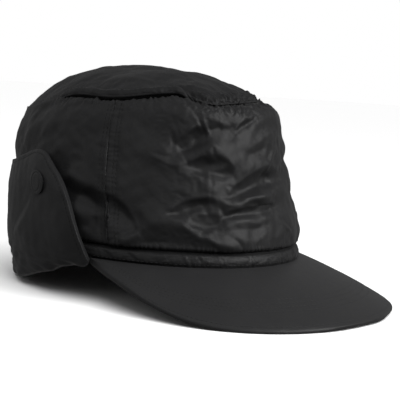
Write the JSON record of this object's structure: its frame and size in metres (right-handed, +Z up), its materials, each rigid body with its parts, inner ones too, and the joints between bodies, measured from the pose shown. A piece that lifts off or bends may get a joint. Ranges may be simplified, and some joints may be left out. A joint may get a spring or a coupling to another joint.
{
  "type": "padded winter cap with ear flap",
  "caption": "Padded nylon winter cap: tall soft crown with a domed top, rolled rim, stiff sloping peak, and an ear and neck flap folded up round the back and snapped at its tips.",
  "frame": {"origin": "middle of the box that holds the cap, on the surface it rests on", "axes": "+Z up, -Y the way the wearer looks, -X the wearer's right"},
  "size_m": [0.2144, 0.2916, 0.1565],
  "materials": {
    "crown_nylon": "semi-gloss woven nylon, padded and creased",
    "top_nylon": "semi-gloss woven nylon, padded",
    "peak_cloth": "satin woven cloth over a stiff board",
    "flap_nylon": "satin woven nylon, padded",
    "snap_cloth": "cloth-covered snap cap"
  },
  "bodies": {
    "root": {"crown_front": "crown_nylon", "crown_back": "crown_nylon", "crown_top": "top_nylon", "top_welt": "top_nylon", "rim_band": "crown_nylon", "peak": "peak_cloth", "ear_neck_flap": "flap_nylon", "snap_cap_right": "snap_cloth", "snap_cap_left": "snap_cloth"}
  },
  "joints": []
}
